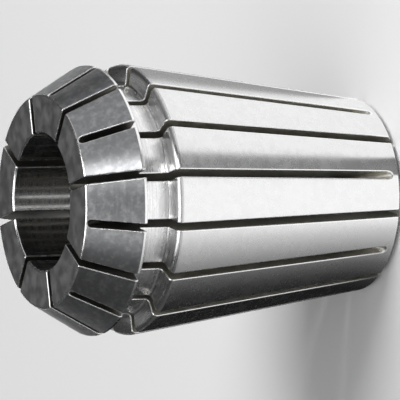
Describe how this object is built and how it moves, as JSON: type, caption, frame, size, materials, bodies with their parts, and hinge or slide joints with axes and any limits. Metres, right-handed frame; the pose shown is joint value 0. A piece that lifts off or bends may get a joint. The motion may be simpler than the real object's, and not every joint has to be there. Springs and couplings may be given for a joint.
{
  "type": "er collet",
  "caption": "One-piece slotted spring collet with a long spindle taper, an extraction groove and a short nose taper, bored to grip a round tool shank.",
  "frame": {"origin": "centre of the small rear face, on which the collet stands", "axes": "+Z along the collet's axis from the rear face to the nose face; +X through the middle of a jaw"},
  "size_m": [0.0258, 0.0258, 0.034],
  "materials": {
    "spring_steel": "hardened and ground, bright on the long taper and groove, satin on the nose taper, matte on the nose face"
  },
  "bodies": {
    "root": {"collet": "spring_steel"}
  },
  "joints": []
}
